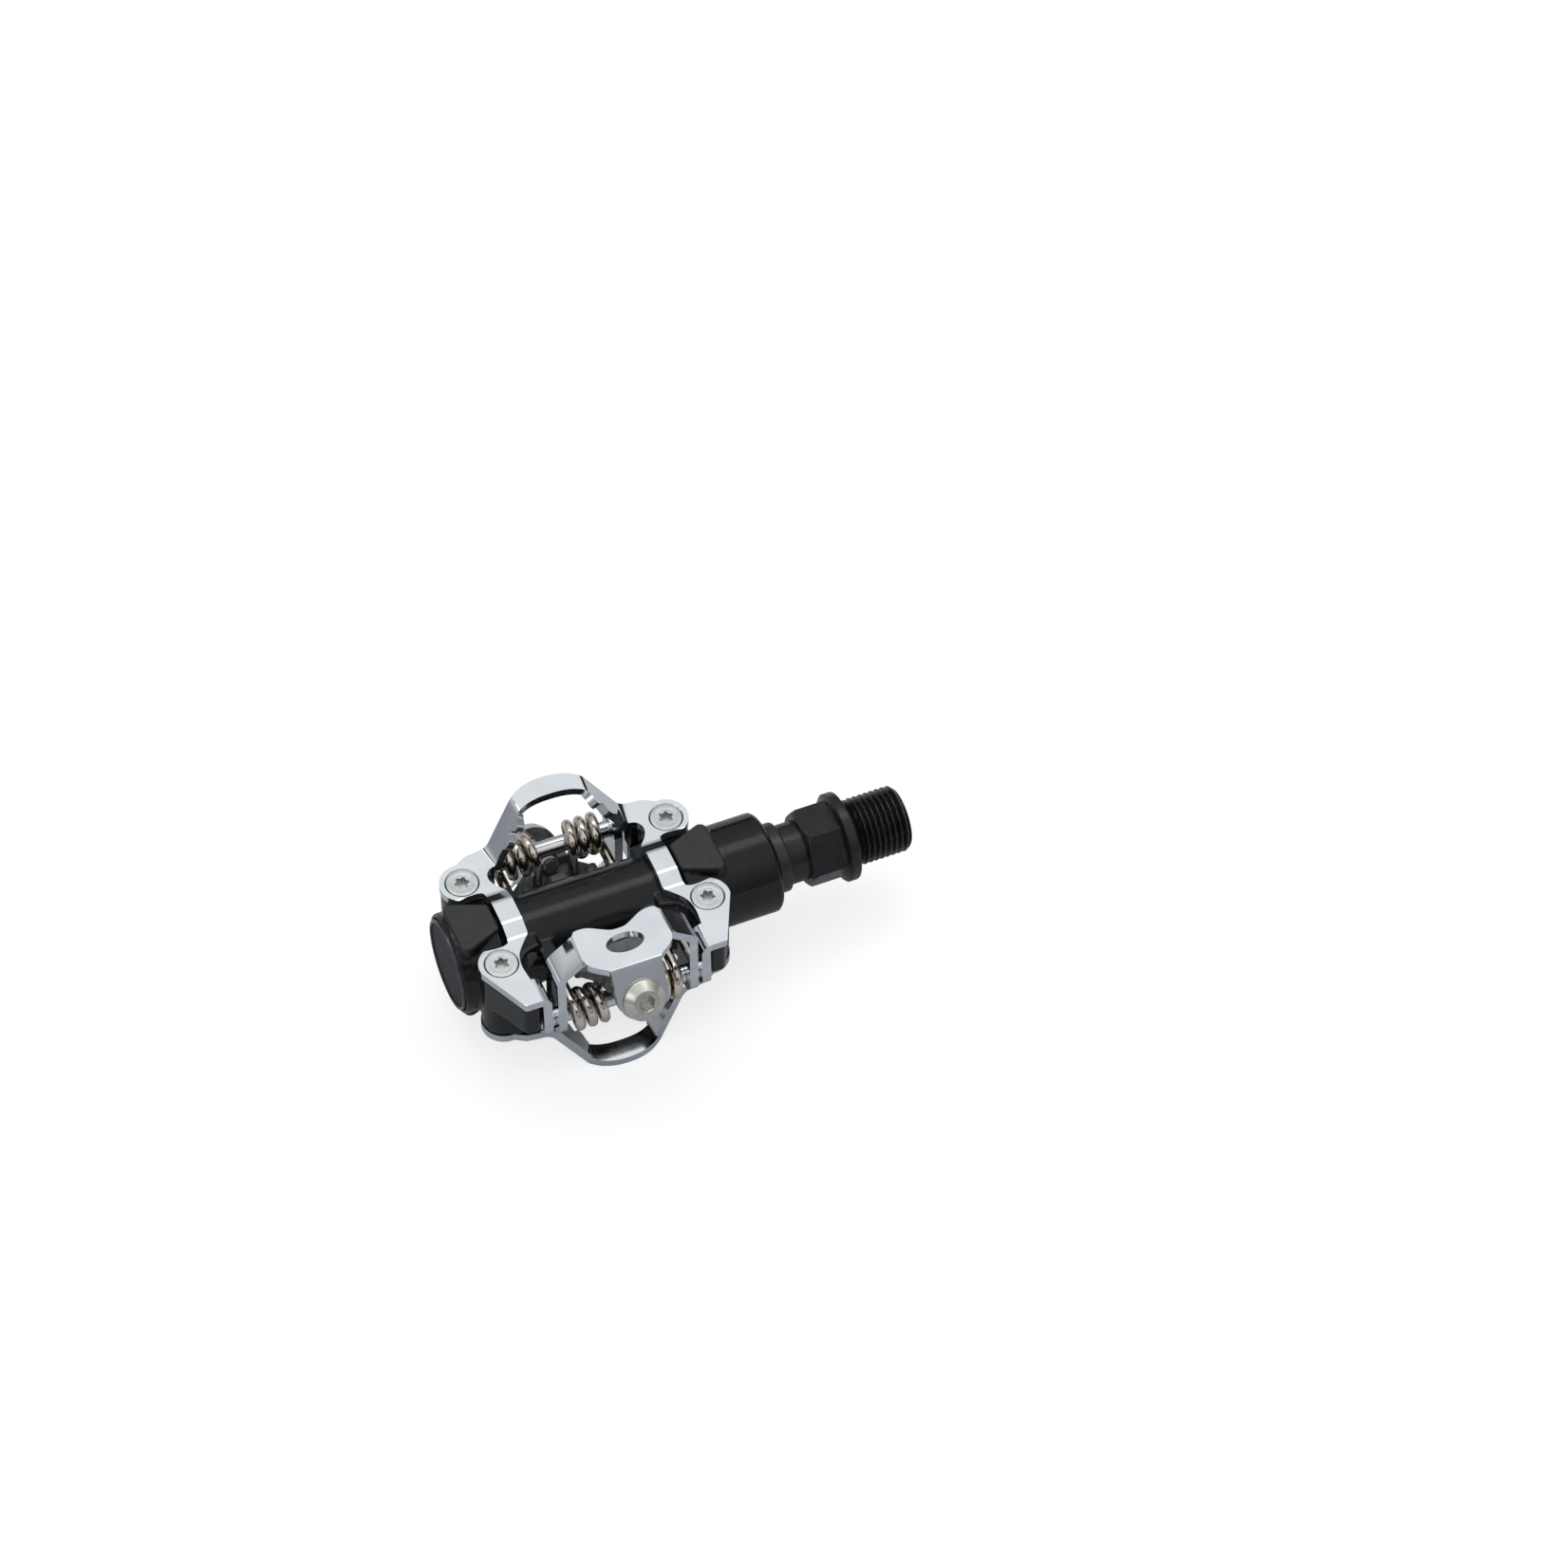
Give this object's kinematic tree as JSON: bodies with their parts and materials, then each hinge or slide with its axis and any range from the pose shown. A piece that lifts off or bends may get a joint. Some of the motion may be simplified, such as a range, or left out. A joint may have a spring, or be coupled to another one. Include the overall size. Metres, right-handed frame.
{
  "type": "clipless bicycle pedal",
  "caption": "Two-sided clipless pedal for a left crank: sprung cleat claws with tension screws, fixed hoops and a threaded spindle.",
  "frame": {"origin": "on the spindle axis, half way along the whole length, which is the centre of the bounding box", "axes": "+X along the spindle towards the crank, +Y towards the top face's hoop, +Z out of the top face"},
  "size_m": [0.1016, 0.0706, 0.0384],
  "materials": {
    "chrome_steel": "polished chrome plate on stamped steel",
    "zinc_steel": "satin zinc plate",
    "nickel_steel": "bright nickel plate",
    "black_casting": "gloss black paint on cast aluminium",
    "grey_cap": "satin",
    "black_oxide_steel": "satin black oxide",
    "cast_steel": "dark matte cast",
    "bearing_steel": "ground",
    "black_polymer": "satin",
    "black_rubber": "matte",
    "bronze": "satin"
  },
  "bodies": {
    "spindle": {"spindle": "black_oxide_steel", "spindle_locknut": "bearing_steel", "lock_washer": "bearing_steel", "bearing_inner_race": "bearing_steel"},
    "pedal_body": {"body_casting": "black_casting", "end_cap": "grey_cap", "top_plate": "chrome_steel", "bottom_plate": "chrome_steel", "top_pivot_pin": "nickel_steel", "bottom_pivot_pin": "nickel_steel", "lock_sleeve": "black_polymer", "inboard_bush": "bronze", "inboard_seal": "black_rubber", "bearing_outer_race": "bearing_steel", "bearing_balls": "bearing_steel", "top_spring_cap": "nickel_steel", "top_spring_crank": "nickel_steel", "bottom_spring_cap": "nickel_steel", "bottom_spring_crank": "nickel_steel", "top_screw_cap_claw": "zinc_steel", "top_screw_cap_hoop": "zinc_steel", "top_screw_crank_claw": "zinc_steel", "top_screw_crank_hoop": "zinc_steel", "bottom_screw_cap_claw": "zinc_steel", "bottom_screw_cap_hoop": "zinc_steel", "bottom_screw_crank_claw": "zinc_steel", "bottom_screw_crank_hoop": "zinc_steel"},
    "top_claw": {"top_claw": "chrome_steel"},
    "bottom_claw": {"bottom_claw": "chrome_steel"},
    "top_adjuster": {"top_adjuster_screw": "zinc_steel"},
    "bottom_adjuster": {"bottom_adjuster_screw": "zinc_steel"},
    "top_tension": {"top_tension_plate": "cast_steel"},
    "bottom_tension": {"bottom_tension_plate": "cast_steel"}
  },
  "joints": [
    {"name": "body_spin", "type": "hinge", "parent": "spindle", "child": "pedal_body", "pos_m": [0, 0, 0], "axis": [1, 0, 0], "continuous": true},
    {"name": "top_claw_pivot", "type": "hinge", "parent": "pedal_body", "child": "top_claw", "pos_m": [-0.02015, -0.0205, 0], "axis": [1, 0, 0], "range_deg": [0, 20], "stiffness_Nm_per_rad": 0.3, "springref_deg": -20.05, "deforming": ["top_spring_cap", "top_spring_crank"]},
    {"name": "top_tension_turn", "type": "hinge", "parent": "top_claw", "child": "top_adjuster", "pos_m": [-0.02015, -0.0319, 0.01215], "axis": [0, -0.866, 0.5], "range_deg": [0, 900]},
    {"name": "top_tension_slide", "type": "slide", "parent": "top_claw", "child": "top_tension", "axis": [0, -0.866, 0.5], "range_m": [-0.002, 0], "deforming": ["top_spring_cap", "top_spring_crank"]},
    {"name": "bottom_claw_pivot", "type": "hinge", "parent": "pedal_body", "child": "bottom_claw", "pos_m": [-0.02015, 0.0205, 0], "axis": [1, 0, 0], "range_deg": [0, 20], "stiffness_Nm_per_rad": 0.3, "springref_deg": -20.05, "deforming": ["bottom_spring_cap", "bottom_spring_crank"]},
    {"name": "bottom_tension_turn", "type": "hinge", "parent": "bottom_claw", "child": "bottom_adjuster", "pos_m": [-0.02015, 0.0319, -0.01215], "axis": [0, 0.866, -0.5], "range_deg": [0, 900]},
    {"name": "bottom_tension_slide", "type": "slide", "parent": "bottom_claw", "child": "bottom_tension", "axis": [0, 0.866, -0.5], "range_m": [-0.002, 0], "deforming": ["bottom_spring_cap", "bottom_spring_crank"]}
  ],
  "couplings": [
    {"joint": "top_tension_turn", "follows": "top_tension_slide", "rad_per_m": -7853.9},
    {"joint": "bottom_tension_turn", "follows": "bottom_tension_slide", "rad_per_m": -7853.9}
  ]
}
